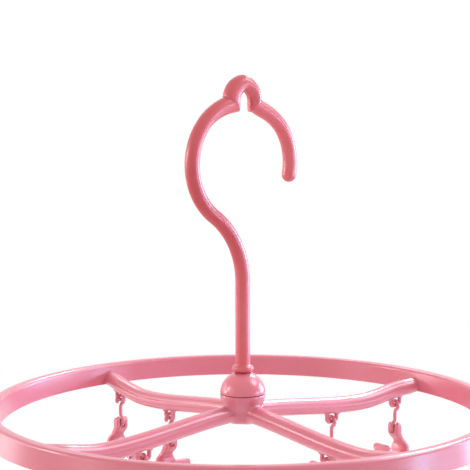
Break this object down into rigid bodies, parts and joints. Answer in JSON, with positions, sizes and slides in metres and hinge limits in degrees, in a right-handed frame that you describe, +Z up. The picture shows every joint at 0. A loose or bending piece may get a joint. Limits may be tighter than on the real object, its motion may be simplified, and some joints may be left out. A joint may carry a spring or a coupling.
{
  "type": "clip drying rack",
  "caption": "Round hanging dryer: a plastic rim on radial arms turns under a notched wind-proof hook, and sprung clips hang from the arms on swinging links.",
  "frame": {"origin": "top of the hook's inside, on the axis of its stem, where it rests on a rail that runs along Y", "axes": "+Z up along the stem, +X in the hook's plane towards its free end, +Y along the rail"},
  "size_m": [0.262, 0.262, 0.2584],
  "materials": {
    "hook": "glossy salmon pink",
    "hub_cap": "glossy pink",
    "frame": "glossy pink",
    "link": "satin pink",
    "clip_back": "satin pink",
    "clip_lever": "satin pink",
    "spring_steel": "bright rolled strip"
  },
  "bodies": {
    "hook": {"hook": "hook"},
    "rack": {"frame": "frame", "hub_cap": "hub_cap"},
    "link_1": {"link_1": "link"},
    "clip_1": {"clip_back_1": "clip_back", "clip_spring_1": "spring_steel"},
    "lever_1": {"clip_lever_1": "clip_lever"},
    "link_2": {"link_2": "link"},
    "clip_2": {"clip_back_2": "clip_back", "clip_spring_2": "spring_steel"},
    "lever_2": {"clip_lever_2": "clip_lever"},
    "link_3": {"link_3": "link"},
    "clip_3": {"clip_back_3": "clip_back", "clip_spring_3": "spring_steel"},
    "lever_3": {"clip_lever_3": "clip_lever"},
    "link_4": {"link_4": "link"},
    "clip_4": {"clip_back_4": "clip_back", "clip_spring_4": "spring_steel"},
    "lever_4": {"clip_lever_4": "clip_lever"},
    "link_5": {"link_5": "link"},
    "clip_5": {"clip_back_5": "clip_back", "clip_spring_5": "spring_steel"},
    "lever_5": {"clip_lever_5": "clip_lever"},
    "link_6": {"link_6": "link"},
    "clip_6": {"clip_back_6": "clip_back", "clip_spring_6": "spring_steel"},
    "lever_6": {"clip_lever_6": "clip_lever"},
    "link_7": {"link_7": "link"},
    "clip_7": {"clip_back_7": "clip_back", "clip_spring_7": "spring_steel"},
    "lever_7": {"clip_lever_7": "clip_lever"},
    "link_8": {"link_8": "link"},
    "clip_8": {"clip_back_8": "clip_back", "clip_spring_8": "spring_steel"},
    "lever_8": {"clip_lever_8": "clip_lever"}
  },
  "joints": [
    {"name": "hub_swivel", "type": "hinge", "parent": "hook", "child": "rack", "pos_m": [0, 0, -0.1436], "axis": [0, 0, 1], "continuous": true},
    {"name": "link_swing_1", "type": "hinge", "parent": "rack", "child": "link_1", "pos_m": [0.11006, 0.00171, -0.16532], "axis": [1, 0, 0], "range_deg": [-40, 40]},
    {"name": "clip_swing_1", "type": "hinge", "parent": "link_1", "child": "clip_1", "pos_m": [0.11006, 0.00171, -0.17732], "axis": [0, 1, 0], "range_deg": [-30, 30]},
    {"name": "jaw_1", "type": "hinge", "parent": "clip_1", "child": "lever_1", "pos_m": [0.11036, 0.00171, -0.20832], "axis": [0, 1, 0], "range_deg": [0, 22], "stiffness_Nm_per_rad": 0.03, "springref_deg": -5.73, "deforming": ["clip_spring_1"]},
    {"name": "link_swing_2", "type": "hinge", "parent": "rack", "child": "link_2", "pos_m": [0.06206, 0.00141, -0.16741], "axis": [1, 0, 0], "range_deg": [-40, 40]},
    {"name": "clip_swing_2", "type": "hinge", "parent": "link_2", "child": "clip_2", "pos_m": [0.06206, 0.00141, -0.17941], "axis": [0, 1, 0], "range_deg": [-30, 30]},
    {"name": "jaw_2", "type": "hinge", "parent": "clip_2", "child": "lever_2", "pos_m": [0.06236, 0.00141, -0.21041], "axis": [0, 1, 0], "range_deg": [0, 22], "stiffness_Nm_per_rad": 0.03, "springref_deg": -5.73, "deforming": ["clip_spring_2"]},
    {"name": "link_swing_3", "type": "hinge", "parent": "rack", "child": "link_3", "pos_m": [-0.00171, 0.11006, -0.16532], "axis": [0, 1, 0], "range_deg": [-40, 40]},
    {"name": "clip_swing_3", "type": "hinge", "parent": "link_3", "child": "clip_3", "pos_m": [-0.00171, 0.11006, -0.17732], "axis": [-1, 0, 0], "range_deg": [-30, 30]},
    {"name": "jaw_3", "type": "hinge", "parent": "clip_3", "child": "lever_3", "pos_m": [-0.00171, 0.11036, -0.20832], "axis": [-1, 0, 0], "range_deg": [0, 22], "stiffness_Nm_per_rad": 0.03, "springref_deg": -5.73, "deforming": ["clip_spring_3"]},
    {"name": "link_swing_4", "type": "hinge", "parent": "rack", "child": "link_4", "pos_m": [-0.00141, 0.06206, -0.16741], "axis": [0, 1, 0], "range_deg": [-40, 40]},
    {"name": "clip_swing_4", "type": "hinge", "parent": "link_4", "child": "clip_4", "pos_m": [-0.00141, 0.06206, -0.17941], "axis": [-1, 0, 0], "range_deg": [-30, 30]},
    {"name": "jaw_4", "type": "hinge", "parent": "clip_4", "child": "lever_4", "pos_m": [-0.00141, 0.06236, -0.21041], "axis": [-1, 0, 0], "range_deg": [0, 22], "stiffness_Nm_per_rad": 0.03, "springref_deg": -5.73, "deforming": ["clip_spring_4"]},
    {"name": "link_swing_5", "type": "hinge", "parent": "rack", "child": "link_5", "pos_m": [-0.11006, -0.00171, -0.16532], "axis": [-1, 0, 0], "range_deg": [-40, 40]},
    {"name": "clip_swing_5", "type": "hinge", "parent": "link_5", "child": "clip_5", "pos_m": [-0.11006, -0.00171, -0.17732], "axis": [0, -1, 0], "range_deg": [-30, 30]},
    {"name": "jaw_5", "type": "hinge", "parent": "clip_5", "child": "lever_5", "pos_m": [-0.11036, -0.00171, -0.20832], "axis": [0, -1, 0], "range_deg": [0, 22], "stiffness_Nm_per_rad": 0.03, "springref_deg": -5.73, "deforming": ["clip_spring_5"]},
    {"name": "link_swing_6", "type": "hinge", "parent": "rack", "child": "link_6", "pos_m": [-0.06206, -0.00141, -0.16741], "axis": [-1, 0, 0], "range_deg": [-40, 40]},
    {"name": "clip_swing_6", "type": "hinge", "parent": "link_6", "child": "clip_6", "pos_m": [-0.06206, -0.00141, -0.17941], "axis": [0, -1, 0], "range_deg": [-30, 30]},
    {"name": "jaw_6", "type": "hinge", "parent": "clip_6", "child": "lever_6", "pos_m": [-0.06236, -0.00141, -0.21041], "axis": [0, -1, 0], "range_deg": [0, 22], "stiffness_Nm_per_rad": 0.03, "springref_deg": -5.73, "deforming": ["clip_spring_6"]},
    {"name": "link_swing_7", "type": "hinge", "parent": "rack", "child": "link_7", "pos_m": [0.00171, -0.11006, -0.16532], "axis": [0, -1, 0], "range_deg": [-40, 40]},
    {"name": "clip_swing_7", "type": "hinge", "parent": "link_7", "child": "clip_7", "pos_m": [0.00171, -0.11006, -0.17732], "axis": [1, 0, 0], "range_deg": [-30, 30]},
    {"name": "jaw_7", "type": "hinge", "parent": "clip_7", "child": "lever_7", "pos_m": [0.00171, -0.11036, -0.20832], "axis": [1, 0, 0], "range_deg": [0, 22], "stiffness_Nm_per_rad": 0.03, "springref_deg": -5.73, "deforming": ["clip_spring_7"]},
    {"name": "link_swing_8", "type": "hinge", "parent": "rack", "child": "link_8", "pos_m": [0.00141, -0.06206, -0.16741], "axis": [0, -1, 0], "range_deg": [-40, 40]},
    {"name": "clip_swing_8", "type": "hinge", "parent": "link_8", "child": "clip_8", "pos_m": [0.00141, -0.06206, -0.17941], "axis": [1, 0, 0], "range_deg": [-30, 30]},
    {"name": "jaw_8", "type": "hinge", "parent": "clip_8", "child": "lever_8", "pos_m": [0.00141, -0.06236, -0.21041], "axis": [1, 0, 0], "range_deg": [0, 22], "stiffness_Nm_per_rad": 0.03, "springref_deg": -5.73, "deforming": ["clip_spring_8"]}
  ]
}
